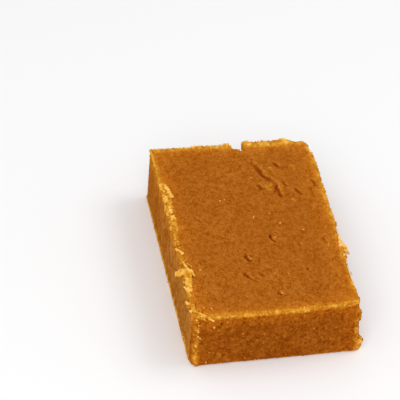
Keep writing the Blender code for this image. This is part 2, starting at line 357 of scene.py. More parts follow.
def cutNotch(block):
    bites = []
    for least, most, turn in backNotch["blocks"]:
        middle, size = (Vector(least) + Vector(most)) / 2 * mm, (Vector(most) - Vector(least)) * mm
        deselect()
        bpy.ops.mesh.primitive_cube_add(size=1, location=middle, rotation=(0, 0, math.radians(turn)))
        bites.append(bpy.context.object)
        bites[-1].scale = size
        bakePlace()
    cutter = bites[0]
    joinInto(cutter, bites[1:])
    remeshed(cutter, slab["fineSkin"])
    addRelief(cutter, "broken", "CLOUDS", backNotch["roughSize"], backNotch["roughness"])
    applyAll(cutter)
    modifier = block.modifiers.new("notch", "BOOLEAN")
    modifier.operation = "DIFFERENCE"
    modifier.solver = "MANIFOLD"
    modifier.object = cutter
    applyAll(block)
    bpy.data.objects.remove(cutter, do_unlink=True)


crumbShapes = makeShapes(7, 2, (("lumpy", "CLOUDS", 0.55, 0.35), ("chipped", "VORONOI", 0.45, -0.35)))
block = addSlabBlock()
smearRims(block)
cutNotch(block)
print("slab block cut")


# grains of the paste that stand out of the cut faces and the rims, fused with the slab

faceGrains = {
    "count": 900,
    "size": (0.35, 0.9),
    "heights": (0.03, 0.9),  # shares of the thickness
    "sink": 0.2,
    "flat": 0.8,  # thickness over width
    "leftShare": 0.25,  # of the grains on the left face, which the knife left smooth
    "clearCorner": 1.5,  # none so near to the upright at the front right, which is smooth
}


def faceSpot(heights, sink):
    # a place on one of the four cut faces, and the way out of it
    width, length, thickness = slab["size"]
    side = rng.choice((-1, 1))
    height = rng.uniform(*heights) * thickness
    along = rng.uniform(-0.49, 0.49)
    if rng.random() < width / (width + length):
        return np.array((along * width, side * (length / 2 - sink), height)), np.array((0, side, 0))
    return np.array((side * (width / 2 - sink), along * length, height)), np.array((side, 0, 0))


def faceGrainPlacings():
    placings = []
    corner = np.array(slab["size"][:2]) * (0.5, -0.5)
    for number in range(faceGrains["count"]):
        place, outward = faceSpot(faceGrains["heights"], faceGrains["sink"] * mm)
        size = rng.uniform(*faceGrains["size"]) * mm
        shape = (size, size, size * faceGrains["flat"])
        grain = placing(bowed(strayed(place[None]))[0], shape, randomTurn())
        kept = outward[0] >= 0 or rng.random() < faceGrains["leftShare"]
        if kept and np.linalg.norm(place[:2] - corner) > faceGrains["clearCorner"] * mm:
            placings.append(grain)
    return placings


joinInto(block, [copyShapes("faceGrains", crumbShapes, faceGrainPlacings())])
remeshed(block, slab["fineSkin"])
print("slab skin:", len(block.data.polygons), "faces")


# tears that the knife dragged open in the top: path, width, depth and height of the flap on the right,
# in mm, from the back to the front
tears = {
    "longStart": (((3.1, 18.7), (3.65, 17.7), (4.1, 16.7)), 1, 0.18, 0.1),
    "long": (((3.9, 17.2), (4.3, 16.3), (4.6, 15), (5, 13.8), (5.7, 12.9), (6.4, 12.1), (6.8, 11.7)),
             0.9, 0.32, 0.2),
    "lower": (((6.75, 11.4), (6.85, 10.2), (6.9, 8.8), (7.1, 7.5), (7, 6.5)), 0.75, 0.28, 0.2),
    "lowerSide": (((6.35, 9.6), (6.3, 8.3)), 0.8, 0.22, 0),
    "besideLump": (((3.15, 11.5), (3.5, 10.5), (3.95, 9.5)), 0.6, 0.3, 0.2),
    "backRight": (((7.7, 18.3), (8.1, 17.5), (8.8, 16.4)), 0.5, 0.32, 0.08),
    "shortRight": (((8.5, 11.9), (8.95, 10.1)), 0.5, 0.26, 0.08),
    "farRight": (((10.2, 9.6), (10.9, 8.3), (11.7, 7)), 0.6, 0.22, 0.1),
    "rightRim": (((14.3, 12.2), (14.9, 9.4)), 0.6, 0.22, 0.1),
    "middle": (((2.3, -3.9), (2.55, -5), (2.95, -6.3)), 0.42, 0.5, 0.1),
    "middleRight": (((7.3, -6.7), (7.7, -8.1)), 0.45, 0.2, 0.05),
    "nearClump": (((12.4, -6.1), (12.85, -7.9)), 0.5, 0.18, 0.05),
    "lowerLeft": (((-3.5, -9.2), (-3.2, -10.4), (-2.85, -11.5)), 0.65, 0.4, 0.18),
    "lowerLeftFork": (((-2.9, -9.8), (-1.9, -10.3)), 0.4, 0.26, 0),
    "lowerPair": (((-5, -14.2), (-4, -15.6), (-3.1, -16.9)), 0.42, 0.34, 0.1),
    "lowerPairRight": (((-1.9, -14.4), (-1.1, -15.8)), 0.36, 0.32, 0.08),
    "lowFront": (((0.5, -20), (1.1, -21.4)), 0.45, 0.3, 0.16),
    "hairLeft": (((-11.2, 2.9), (-10.4, 1.5), (-9.6, 0.5)), 0.3, 0.22, 0.08),
    "hairMiddle": (((-7.4, -3.2), (-6.3, -4.7)), 0.3, 0.2, 0.06),
    "hairBack": (((-2.1, 3.1), (-1.3, 2.6)), 0.3, 0.16, 0),
    "hairFront": (((0.2, 5.8), (0.9, 4.6)), 0.3, 0.18, 0.04),
}

# painted shade in a tear's groove, in relief a mm of depth, and painted highlight on a flap or lump, a mm
# of height
tearShade = {"groove": 0.95, "flap": 1.3, "lump": 1.0}

# small pits and flat lumps in the top: middle, width and depth, which is negative for a lump
topPits = (
    ((4.05, -4.9), 0.5, 0.14), ((6.2, -9.7), 0.6, 0.2), ((1.1, -10.3), 0.6, 0.2),
    ((7.4, -14.5), 0.8, 0.45), ((-8.6, -1.1), 0.5, 0.18), ((2.3, -15.5), 0.5, 0.14),
    ((1.8, -23.2), 0.5, 0.18), ((-0.6, -19.3), 0.5, 0.14), ((-2.0, -16.4), 0.5, 0.2),
    ((-9.3, -19.5), 0.5, 0.2), ((1.1, 15.2), 0.7, 0.2), ((-3.8, 7.1), 0.5, 0.14),
    ((-7.8, 20.7), 0.6, 0.26), ((-7.7, 18.9), 0.5, 0.22), ((7.1, 2.2), 0.6, 0.16),
    ((5.3, 10.3), 2.9, -0.34), ((5.9, 11.3), 0.9, -0.16), ((4.4, 10.5), 0.7, -0.16),
    ((5.9, 9.2), 0.8, -0.14), ((11.4, 16.6), 1.4, -0.2), ((11.5, 15.4), 1.6, -0.2),
    ((9.3, 5.9), 1.5, -0.18), ((2.3, 13.3), 0.9, -0.22), ((6.9, 16.1), 1.8, -0.18),
    ((5.6, 17.4), 1.8, -0.14), ((4.9, 16.3), 0.7, -0.18),
)

# holes where grains fell out of the cut faces: the depth is a share of the width
facePits = {
    "count": 170,
    "width": (0.4, 1.0),
    "depth": (0.25, 0.45),
    "heights": (0.08, 0.92),
    "leftShare": 0.2,
}


def besidePath(x, y, path):
    # how far places lie to the right of a path of several points, and at which share of its length
    points = np.array(path)
    lengths = np.linalg.norm(np.diff(points, axis=0), axis=1)
    across, share = np.full(len(x), np.inf), np.zeros(len(x))
    for number, length in enumerate(lengths):
        alongX, alongY = (points[number + 1] - points[number]) / length
        fromX, fromY = x - points[number][0], y - points[number][1]
        here = np.clip(fromX * alongX + fromY * alongY, 0, length)
        side = np.where(fromY * alongX - fromX * alongY > 0, 1, -1)
        away = side * np.hypot(fromX - here * alongX, fromY - here * alongY)
        closer = np.abs(away) < np.abs(across)
        across[closer] = away[closer]
        share[closer] = ((lengths[:number].sum() + here) / lengths.sum())[closer]
    return across, share


def tearMarks(x, y):
    # a tear slopes down from the left and ends in a steep wall under a raised flap on the right: its lift
    # in mm, the painted shade of its groove and of the pits, and the painted highlight of its flap and of
    # the lumps
    lift, dark, pale = np.zeros(len(x)), np.zeros(len(x)), np.zeros(len(x))
    for path, width, depth, flap in tears.values():
        across, share = besidePath(x, y, path)
        across += 0.1 * np.sin(3.1 * y + 5 * path[0][0]) - 0.4 * width
        taper = smoothStep(-0.1, 0.25, share) * (1 - smoothStep(0.7, 1.1, share))
        groove = smoothStep(-1.2 * width, -0.4 * width, across) * (1 - smoothStep(-0.1, 0.15, across))
        rise = smoothStep(-0.05, 0.2, across) * (1 - smoothStep(0.35, 0.7 + width, across))
        edge = smoothStep(0.0, 0.2, across) * (1 - smoothStep(0.25, 0.5 + width, across))
        lift += taper * (flap * rise - depth * groove)
        dark += taper * tearShade["groove"] * depth * groove
        pale += taper * tearShade["flap"] * flap * edge
    # pits get a painted shade and lumps a painted highlight
    for (middleX, middleY), width, depth in topPits:
        near = (1 - np.clip(np.hypot(x - middleX, y - middleY) / (0.5 * width), 0, 1) ** 2) ** 1.5
        lift -= depth * near
        if depth < 0:
            pale -= tearShade["lump"] * depth * near
        else:
            dark += tearShade["groove"] * depth * near
    return lift, dark, pale


def onTop(piece):
    return (normalsOf(piece)[:, 2] > 0.4) & (cornersOf(piece)[:, 2] > slab["size"][2] - 0.8 * mm)


def dragTears(piece):
    places = cornersOf(piece)
    marked = onTop(piece)
    lift, dark, pale = tearMarks(places[marked, 0] / mm, places[marked, 1] / mm)
    places[marked, 2] += lift * mm
    moveCorners(piece, places)


def pitFaces(piece):
    places = cornersOf(piece)
    moved = places.copy()
    for number in range(facePits["count"]):
        middle, outward = faceSpot(facePits["heights"], 0)
        size = rng.uniform(*facePits["width"]) * mm
        depth = rng.uniform(*facePits["depth"]) * size
        stretch = np.array(randomStretch())
        if outward[0] < 0 and rng.random() > facePits["leftShare"]:
            continue
        offset = (places - bowed(strayed(middle[None]))) * stretch
        near = 1 - np.clip(np.linalg.norm(offset, axis=1) / (0.5 * size), 0, 1) ** 2
        moved -= (near ** 1.5)[:, None] * depth * outward
    moveCorners(piece, moved)


dragTears(block)
pitFaces(block)
print("tears and pits made")


# the slab's relief: grain all over, deep on the cut faces and fine on the top

relief = {
    "cragSize": 1.9 * mm,
    "cragHeight": 0.2 * mm,
    "grainSize": 0.5 * mm,
    "grainHeight": 0.2 * mm,
    "fineSize": 0.28 * mm,
    "fineHeight": 0.1 * mm,
    "topShare": 0.42,  # of the cut faces' height
    "leftShare": 0.4,
    "leftRim": 0.5 * mm,  # the left side's share starts so far below the top
    "baseShare": 0.05,
    "cavityReach": 14,  # smoothing steps that the pits and peaks are measured against
}


def reliefWeights(piece):
    # how much of the full relief each corner gets, by the face that it lies on
    places, normals = cornersOf(piece), normalsOf(piece)
    up = normals[:, 2]
    weights = 1 - (1 - relief["topShare"]) * smoothStep(0.5, 0.95, up)
    belowRim = slab["size"][2] - relief["leftRim"] - places[:, 2]
    left = smoothStep(0.6, 0.95, -normals[:, 0]) * smoothStep(0, relief["leftRim"], belowRim)
    weights *= 1 - (1 - relief["leftShare"]) * left
    base = smoothStep(0.5, 0.95, -up)
    weights *= 1 - (1 - relief["baseShare"]) * base
    return weights


def flattenBase(piece):
    # nothing reaches below the plane that the piece lies on
    places = cornersOf(piece)
    places[:, 2] = np.maximum(places[:, 2], 0)
    moveCorners(piece, places)


def heightAboveAround(piece):
    # how far each corner stands out of its surroundings, in mm: pits are negative
    deselect()
    smooth = piece.copy()
    smooth.data = piece.data.copy()
    bpy.context.scene.collection.objects.link(smooth)
    modifier = smooth.modifiers.new("around", "SMOOTH")
    modifier.factor = 0.6
    modifier.iterations = relief["cavityReach"]
    applyAll(smooth)
    height = ((cornersOf(piece) - cornersOf(smooth)) * normalsOf(smooth)).sum(axis=1)
    bpy.data.objects.remove(smooth, do_unlink=True)
    return height / mm


def roughenSlab(piece):
    weights = reliefWeights(piece)
    addRelief(piece, "crags", "CLOUDS", relief["cragSize"], relief["cragHeight"], weights, depth=3)
    addRelief(piece, "grain", "VORONOI", relief["grainSize"], -relief["grainHeight"], weights, middle=0.35)
    addRelief(piece, "fineGrain", "CLOUDS", relief["fineSize"], relief["fineHeight"], weights, depth=1)
    applyAll(piece)
    piece.vertex_groups.clear()
    flattenBase(piece)
    thinner = piece.modifiers.new("thinner", "DECIMATE")
    thinner.ratio = slab["triangles"] / (2 * len(piece.data.polygons))
    applyAll(piece)
    flattenBase(piece)
    height, marked = heightAboveAround(piece), onTop(piece)
    lift, dark, pale = tearMarks(*(cornersOf(piece)[marked, :2] / mm).T)
    # painted shade: the tears' grooves and the pits count as deeper, so the colours darken them
    height[marked] -= dark
    storeValue(piece, "relief", height)
    # the painted highlight on the tears' flaps and on the lumps, which the paleness carries
    torn = np.zeros(len(height))
    torn[marked] = pale
    return torn


# the painted highlight of the tears' flaps and of the lumps
tornPaleness = roughenSlab(block)
print("slab roughened:", len(block.data.polygons), "triangles")

# paler paste along the rims: ends of the middle line, reach and share of the pale band, and reach and
# share of the painted glow round it, which stands in for light coming through the thin paste, in mm
rims = {
    "frontLip": ((-15.8, -24.45, 11.95), (15, -24.15, 11.95), 1, 0.58, 5, 0.5),
    "frontGlow": ((-15, -24.4, 11.8), (15, -24.2, 11.8), 1, 0, 2.2, 0.6),
    "belowFrontLip": ((-15, -24.6, 10.8), (15, -24.3, 10.8), 1, 0, 3.5, 0.6),
    "rightLip": ((16.5, 24, 12), (15.2, -24, 12), 1.5, 0.45, 7, 0.65),
    "rightLine": ((16.6, 24, 12), (15.1, -24, 12), 0.6, 0.4, 1, 0),
    "rightLineBack": ((16.95, 20, 12), (16, -2, 12), 0.8, 0.7, 1, 0),
    "backLip": ((-16, 24.7, 12), (16, 24.6, 12), 2, 0.7, 6, 0.9),
    "backLine": ((-16, 24.7, 12), (0.3, 24.7, 12), 0.8, 0.8, 1, 0),
    "backRightLip": ((3, 25.3, 12.1), (11.5, 25.3, 12.1), 2.4, 0.95, 3.5, 0.7),
    "leftBack": ((-16.1, 24, 12), (-15.9, 12.5, 12), 0.9, 0.8, 6, 0.8),
    "leftBurr": ((-15.3, 12.8, 12.1), (-15.3, -1, 12.1), 1.1, 0.7, 5, 0.6),
    "leftTail": ((-15.8, -1, 12.1), (-15.8, -10, 12.1), 1, 0.5, 5, 0.6),
    "leftFront": ((-15.7, -12, 12.1), (-15.9, -24, 12.1), 0.9, 0.5, 5, 0.8),
    "frontLeftArris": ((-15.6, -24.8, 11), (-15.3, -25.7, 0.5), 1, 0.3, 9, 0.4),
    "frontLeftFoot": ((-15.4, -25.3, 3), (-14.6, -25.6, 0.6), 1, 0.08, 3, 0.8),
    "frontRightArris": ((15.3, -24.3, 12), (16.3, -25, 0.5), 1, 0.35, 8, 0.6),
    "frontRightLine": ((14.6, -24.5, 10.2), (15.3, -24.9, 2.5), 0.6, 0.3, 1, 0),
    "frontRightFoot": ((16.1, -24.8, 1.8), (15.7, -25, 0.6), 1.2, 0.3, 2.5, 0.7),
    # the foot lines: painted highlight where the rounded foot catches light
    "leftFoot": ((-16.45, 24, 0.2), (-16.1, -24.5, 0.2), 1.1, 0.95, 1, 0),
    "frontFoot": ((-14.5, -25.8, 0), (16, -25.3, 0), 0.5, 0.4, 2, 0.3),
}


def nearRims(piece):
    places = bowed(cornersOf(piece), -1)
    thickness = slab["size"][2] / mm
    pale, glow = np.zeros(len(places)), np.zeros(len(places))
    # paste that smeared over the top's edges ends in a soft line just below them
    smeared = 1 - smoothStep(0.8, 2.0, thickness - places[:, 2] / mm)
    for start, end, paleReach, paleShare, glowReach, glowShare in rims.values():
        away = awayFromLine(places, start, end) / mm
        band = paleShare * (1 - smoothStep(0.2, 1, away / paleReach)) * (1 - pale)
        pale += band * smeared if end[2] > thickness - 1 else band
        # painted glow, where light comes through the thin paste
        glow += glowShare * np.clip(1 - away / glowReach, 0, 1) ** 2 * (1 - glow)
    return pale, glow


def storeTones(piece, pale=None):
    # paleness and painted glow by the rims, and which face a corner lies on: the ends and the right side
    # are cut faces, darker as painted shade, and the left side takes a tone with painted sheen, stronger to
    # the front
    x, y, z = (bowed(cornersOf(piece), -1) / mm).T
    width, length, thickness = np.array(slab["size"]) / mm
    below = smoothStep(0.2, 1.0, thickness - z)
    left = 1 - smoothStep(0.3, 1.0, x + width / 2)
    left *= smoothStep(0.2, 1.2, y + length / 2) * smoothStep(0.2, 1.2, length / 2 - y)
    rimPale, glow = nearRims(piece)
    # paleness of the rims, with the painted highlight of the tears' flaps and lumps
    storeValue(piece, "pale", rimPale + tornPaleness if pale is None else pale)
    storeValue(piece, "glow", glow)
    # the cut faces' share: their darker tone is painted shade
    storeValue(piece, "cut", below * (1 - left))
    # the left side's share: its tone with painted sheen, strongest towards the front
    storeValue(piece, "dry", below * left * (0.55 - 0.45 * np.clip(y / 20, -1, 1)))


storeTones(block)


# torn paste and crumbs along the rims

tornPaste = {
    "skin": 0.1 * mm,
    "roughness": 0.12 * mm,
    "roughSize": 0.3 * mm,
    # crumbs of the bands: how far they stray, in widths of the band, and their breadth, thickness and turn
    "bandStray": (0.3, 0.3, 0.1),
    "breadth": (0.7, 1.2),
    "thickness": (0.55, 0.95),
    "bandTurn": 0.6,
    # lumps of the strips: spacing and stray in radii, and how they vary
    "spacing": 0.5,
    "stripStray": 0.16,
    "lumpSize": (0.85, 1.25),
    "stripTurn": 0.5,
    "paleStray": (-0.2, 0.2),
}

# crumbly bands: ends of the middle line, width, number of crumbs, their least and greatest size in mm, and
# their least and greatest paleness
crumbBands = {
    "burr": ((-15.1, 12.2, 12.05), (-15.15, 1.6, 12.05), 1, 125, (0.28, 0.8), (-0.3, 1.5)),
    "burrEdge": ((-15.9, 12.2, 12), (-15.9, 1.6, 12), 0.4, 40, (0.3, 0.5), (0.2, 1)),
    "burrTail": ((-15.5, 1.6, 12.05), (-15.7, -8.6, 12.05), 0.6, 80, (0.24, 0.55), (-0.1, 1.2)),
    "leftLine": ((-15.95, 24, 12), (-15.8, 13, 12.05), 0.2, 70, (0.22, 0.36), (0.9, 1.3)),
    "fringe": ((-15.7, -18, 12), (-15.9, -24, 12), 0.4, 30, (0.25, 0.5), (0.5, 1.4)),
    "frontLipLeft": ((-13.5, -24.4, 11.8), (-6, -24.5, 11.75), 0.4, 22, (0.2, 0.4), (0.5, 1.4)),
    "frontLip": ((-6, -24.5, 11.8), (6, -24.4, 11.8), 0.3, 26, (0.18, 0.36), (0.4, 1.1)),
    "frontLipRight": ((6, -24.35, 11.85), (11, -24.3, 11.9), 0.4, 26, (0.2, 0.45), (0.5, 1.5)),
    "frontLipEnd": ((11, -24.2, 11.9), (15, -24.1, 11.9), 0.25, 12, (0.18, 0.34), (0.3, 0.9)),
    "frontLeftTop": ((-15.4, -23, 11.95), (-12.6, -24.2, 11.95), 1.3, 34, (0.22, 0.45), (0, 1.3)),
    "frontLeftHang": ((-15.6, -24.3, 11.6), (-13.6, -24.8, 11.1), 0.6, 26, (0.2, 0.42), (0.2, 1.4)),
    "frontLeftFace": ((-14.9, -24.8, 10.8), (-14.5, -25.2, 4.5), 1, 44, (0.16, 0.45), (-0.5, 1.2)),
    "backLipLeft": ((-16, 24.55, 11.95), (-8.2, 24.5, 11.95), 0.25, 60, (0.2, 0.36), (0.7, 1.2)),
    "backLipMiddle": ((-8.2, 24.6, 12), (0.2, 24.6, 12), 0.35, 60, (0.25, 0.5), (0.6, 1.3)),
    "backLipRight": ((3.1, 24.95, 12.05), (12, 24.95, 12.05), 0.3, 40, (0.35, 0.6), (0.7, 1.1)),
    "notchEdge": ((0.6, 23.25, 11.95), (2.6, 22.4, 11.95), 0.3, 14, (0.25, 0.45), (0.6, 1.3)),
    "rightLineBack": ((16.65, 20.5, 12), (15.85, -2, 12), 0.25, 90, (0.2, 0.42), (0.6, 1.4)),
    "rightLineFront": ((15.75, -2, 11.95), (15.05, -24, 11.95), 0.2, 40, (0.15, 0.34), (0.5, 1.3)),
    "clump": ((15.4, -7.5, 12.05), (15.7, -10.8, 12), 0.45, 18, (0.25, 0.45), (1.1, 1.9)),
}

# single strips of torn paste: start, end, radius at the start and at the end, thickness over width, and
# paleness
strips = {
    "backCornerKnob": ((-15.9, 24.4, 12), (-16, 23.4, 12), 0.36, 0.28, 0.9, 1.1),
    "burrHead": ((-15.95, 12.9, 12.2), (-15.9, 11.2, 12.2), 0.2, 0.28, 0.7, 1.1),
    "burrFlake": ((-15, 12.4, 12.3), (-14.3, 8.8, 12.35), 0.26, 0.36, 0.6, 1.3),
    "burrGrain": ((-14.75, 7.5, 12.3), (-14.8, 6.9, 12.3), 0.34, 0.34, 0.7, 1),
    "burrStrand": ((-15.7, 9.6, 12.2), (-15, 5.6, 12.3), 0.24, 0.34, 0.6, 1.1),
    "burrLeft": ((-15.9, 9.3, 12.2), (-15.75, 7.6, 12.2), 0.22, 0.3, 0.7, 1.2),
    "burrBlob": ((-15.2, 4.8, 12.25), (-15.15, 3.9, 12.25), 0.32, 0.34, 0.7, 1.4),
    "burrBlobLow": ((-15.2, 2.9, 12.25), (-15.25, 1.9, 12.25), 0.34, 0.38, 0.7, 1.3),
    "tailLeft": ((-16, -0.2, 12.2), (-16.05, -0.9, 12.2), 0.2, 0.24, 0.9, 1.3),
    "tailRight": ((-15, -0.5, 12.2), (-15, -1.3, 12.2), 0.22, 0.26, 0.9, 1.1),
    "tailBlob": ((-15.8, -3.2, 12.2), (-15.7, -3.9, 12.2), 0.25, 0.25, 0.9, 1.2),
    "tailKnot": ((-15.45, -4.7, 12.2), (-15.4, -5.4, 12.2), 0.25, 0.25, 0.9, 1),
    "tailHook": ((-16.1, -6.6, 12.2), (-15.1, -8, 12.2), 0.2, 0.26, 0.8, 1.5),
    "flakeRidge": ((-15.4, -10.4, 12.25), (-14.9, -12.6, 12.3), 0.15, 0.28, 0.8, 1.2),
    "curlBack": ((-15.25, -10.5, 12.3), (-14.1, -9.2, 12.45), 0.12, 0.1, 1, 0.6),
    "curlRight": ((-14.75, -10.9, 12.3), (-14.1, -12, 12.45), 0.12, 0.14, 1, 0.8),
    "flakeTop": ((-15.6, -13, 12.3), (-14.3, -13.2, 12.3), 0.42, 0.28, 0.5, 1.1),
    "flakeLobe": ((-15.6, -13.3, 12.25), (-16.85, -13, 11.7), 0.58, 0.48, 0.8, 1.25),
    "flakeTip": ((-16.9, -12.8, 11.6), (-17.1, -13.3, 11.5), 0.3, 0.28, 0.9, 1.7),
    "flakeBody": ((-15, -13.4, 12.25), (-15.45, -18, 12.2), 0.62, 0.42, 0.4, 1.1),
    "flakeInner": ((-14.3, -12.7, 12.3), (-14.05, -14.5, 12.3), 0.2, 0.2, 0.9, 1),
    "flakeBarb": ((-16.2, -15.9, 12.1), (-15.6, -16.6, 12.2), 0.12, 0.2, 0.8, 1.2),
    "flakeHook": ((-16.4, -17.3, 12.2), (-15.7, -18.4, 12.2), 0.14, 0.26, 0.8, 1.7),
    "spike": ((-16.6, -21.2, 11.9), (-15.75, -22.6, 12.2), 0.2, 0.4, 0.7, 1.5),
    "spikeSide": ((-16.5, -22.3, 11.95), (-15.7, -22.9, 12.15), 0.16, 0.3, 0.8, 1.2),
    "spikeFoot": ((-15.8, -22.6, 12.15), (-15.8, -23.4, 12.1), 0.34, 0.26, 0.7, 1.2),
    "cornerGrain": ((-16.25, -23.4, 11.9), (-16.2, -23.7, 11.9), 0.22, 0.22, 0.9, 1.4),
    "cornerString": ((-14.6, -24.2, 12.1), (-13.2, -24.8, 11.9), 0.16, 0.22, 0.8, 1.4),
    "cornerHang": ((-13.2, -24.85, 11.85), (-12.5, -24.9, 11.35), 0.22, 0.17, 0.9, 1.7),
    "cornerProng": ((-13.3, -24.8, 11.8), (-13.1, -24.85, 11.3), 0.17, 0.13, 0.9, 1.4),
    "cornerWeave": ((-15.7, -23.7, 12.1), (-14.8, -24.2, 12.05), 0.2, 0.16, 0.8, 0.9),
    "frontCrumb": ((-11.65, -24.7, 11.95), (-11.2, -24.7, 12), 0.18, 0.2, 0.9, 1.4),
    "frontCrumbRight": ((-9.2, -24.65, 12), (-8.3, -24.65, 12), 0.13, 0.18, 0.9, 1.4),
    "lipClump": ((8.9, -24.2, 12), (10.3, -24.3, 12), 0.26, 0.3, 0.8, 1.35),
    "clumpHandle": ((15.6, -6, 12.2), (15.25, -8, 12.2), 0.22, 0.24, 0.9, 1.9),
    "clumpEar": ((15.2, -8.7, 12.2), (15.75, -8.65, 12.25), 0.28, 0.34, 0.8, 1.9),
    "clumpSide": ((15.85, -8.8, 12.25), (16, -9.6, 12.2), 0.36, 0.34, 0.8, 1.9),
    "clumpEnd": ((15.95, -9.7, 12.2), (15.7, -10.5, 12.15), 0.32, 0.26, 0.8, 1.8),
    "clumpTail": ((15.85, -10.4, 12.2), (16.25, -11.4, 12.15), 0.24, 0.18, 0.9, 2.4),
    "clumpGrain": ((15.3, -11.4, 12.15), (15.28, -11.6, 12.15), 0.2, 0.2, 0.9, 2),
    "backHigh": ((10.8, 25.15, 12), (11.8, 25.15, 12.05), 0.34, 0.38, 0.7, 1.1),
    "backStep": ((3.1, 24.9, 12), (3.9, 25.1, 12.05), 0.3, 0.34, 0.7, 1.2),
    "backPeak": ((-0.8, 24.6, 12.15), (-0.1, 24.6, 12.2), 0.26, 0.3, 0.9, 1.2),
}


def bandPlacings():
    # a placing and a paleness for every crumb
    placings = []
    for start, end, width, count, (least, most), palenesses in crumbBands.values():
        run = Vector(end) - Vector(start)
        for number in range(count):
            place = Vector(start) + run * rng.random()
            place += Vector([rng.gauss(0, stray) for stray in tornPaste["bandStray"]]) * width
            size = rng.uniform(least, most)
            breadth, thickness = (size * rng.uniform(*tornPaste[name]) for name in ("breadth", "thickness"))
            turn = randomTurn(tornPaste["bandTurn"])
            placings.append((place, Vector((size, breadth, thickness)), turn, rng.uniform(*palenesses)))
    return placings


def stripPlacings():
    placings = []
    for start, end, startRadius, endRadius, flat, paleness in strips.values():
        run = Vector(end) - Vector(start)
        radius = (startRadius + endRadius) / 2
        count = max(2, round(run.length / (tornPaste["spacing"] * radius)) + 1)
        for number in range(count):
            share = number / (count - 1)
            radius = startRadius + (endRadius - startRadius) * share
            stray = Vector([rng.gauss(0, tornPaste["stripStray"]) * radius for axis in range(3)])
            size = 2 * radius * rng.uniform(*tornPaste["lumpSize"])
            turn = randomTurn(tornPaste["stripTurn"])
            ownPaleness = paleness + rng.uniform(*tornPaste["paleStray"])
            place = Vector(start) + run * share + stray
            placings.append((place, Vector((size, size, size * flat)), turn, ownPaleness))
    return placings


def addTornPaste():
    crumbs = bandPlacings() + stripPlacings()
    places = bowed(np.array([crumb[0] for crumb in crumbs]) * mm)
    placings = [placing(place, crumb[1] * mm, crumb[2]) for place, crumb in zip(places, crumbs)]
    torn = copyShapes("tornPaste", crumbShapes, placings)
    remeshed(torn, tornPaste["skin"])
    addRelief(torn, "tornGrain", "CLOUDS", tornPaste["roughSize"], tornPaste["roughness"])
    applyAll(torn)
    flattenBase(torn)
    storeValue(torn, "relief", heightAboveAround(torn))
    # each corner takes the paleness of its nearest crumb
    tree = kdtree.KDTree(len(places))
    for number, place in enumerate(places):
        tree.insert(place, number)
    tree.balance()
    storeTones(torn, [crumbs[tree.find(place)[1]][3] for place in cornersOf(torn)])
    return torn


torn = addTornPaste()
print("torn paste:", 2 * len(torn.data.polygons), "triangles")


# loose grains, lying on the slab's faces and thickest along its rims

looseGrains = {
    # number and paleness of the grains on each part of the slab
    "top": (160, 0.3),
    "faces": (260, 0.3),
    "rims": (1500, 0.9),
    "size": (0.14, 0.34),
    "paleStray": (-0.4, 0.4),
    "lift": (-0.2, 0.15),  # of a grain's size, out of the slab's skin
    "brightLift": 0.1,
    "brightShape": (1.0, 0.8, 0.7),
    "clearance": 0.3 * mm,  # of a grain's middle above the plane that the piece lies on
    "relief": 0.05,  # as the slab's, for the colours: a share of the painted highlight on peaks
}

# bright single grains that show on the top and the front: about where, size in mm, and paleness
brightGrains = (
    ((-5.1, 6.75, 12), 0.55, 1.0), ((-4.1, 7.1, 12), 0.5, 0.9), ((0.5, 1.3, 12), 0.5, 1.1),
    ((3.8, 2.1, 12), 0.45, 1.1), ((5.0, -1.0, 12), 0.6, 1.2), ((9.2, -3.3, 12), 0.6, 1.3),
    ((-12.5, -13.0, 12), 0.6, 0.8), ((-12.5, -19.0, 12), 0.4, 0.8), ((-2.5, -10.85, 12), 0.55, 1.0),
    ((3.4, -5.2, 12), 0.3, 0.9), ((7.95, -15.0, 12), 0.5, 0.9), ((1.2, -20.8, 12), 0.45, 0.9),
    ((-8.4, -20.0, 12), 0.4, 0.8), ((2.3, 13.3, 12), 0.6, 0.8), ((6.9, 16.1, 12), 0.5, 0.7),
    ((4.1, 10.6, 12), 0.5, 0.8), ((3.7, 2.3, 12), 0.55, 0.9),
    ((-13.8, -23.2, 12), 0.6, 0.8), ((-12.3, -23.4, 12), 0.6, 0.9),
    ((-15.6, -25.2, 10.6), 0.5, 1.6), ((-15.1, -25.3, 8.2), 0.5, 1.2), ((-14.9, -25.4, 7.0), 0.5, 1.5),
    ((-15.3, -25.5, 4.8), 0.6, 1.3), ((-12.7, -25.8, 3.3), 0.4, 1.1), ((-13.2, -25.8, 0.9), 0.55, 1.6),
    ((-10.1, -25.8, 0.3), 0.5, 1.5), ((-3.8, -25.6, 0.3), 0.4, 1.5), ((-3.2, -25.6, 0.4), 0.35, 1.4),
    ((-9.8, -25.8, 10.4), 0.5, 0.9), ((-12.3, -25.7, 9.4), 0.5, 0.8),
)


def grainPlacings(piece):
    # grains are set on corners of the slab's own skin
    places, normals = cornersOf(piece), normalsOf(piece)
    pale, glow = nearRims(piece)
    up, height = normals[:, 2], places[:, 2]
    found = {
        "top": (up > 0.8) & (height > 11 * mm),
        "faces": (np.abs(up) < 0.5) & (height > 0.4 * mm) & (places[:, 0] > -15.3 * mm),
        "rims": (pale > 0.3) & (height > 0.5 * mm),
    }
    placings, shares = [], []

    def lifted(spot, lift):
        place = Vector(places[spot] + lift)
        place.z = max(place.z, looseGrains["clearance"])
        return place

    for part, isHere in found.items():
        count, paleness = looseGrains[part]
        spots = np.nonzero(isHere)[0]
        for number in range(count):
            spot = spots[rng.randrange(len(spots))]
            size = rng.uniform(*looseGrains["size"]) * mm
            place = lifted(spot, normals[spot] * size * rng.uniform(*looseGrains["lift"]))
            placings.append(placing(place, size * Vector(randomStretch()), randomTurn()))
            shares.append(paleness + rng.uniform(*looseGrains["paleStray"]))
    for place, size, paleness in brightGrains:
        spot = np.argmin(np.linalg.norm(places - np.array(place) * mm, axis=1))
        place = lifted(spot, normals[spot] * looseGrains["brightLift"] * size * mm)
        shape = Vector([share * size for share in looseGrains["brightShape"]]) * mm
        placings.append(placing(place, shape, randomTurn()))
        shares.append(paleness)
    return placings, shares


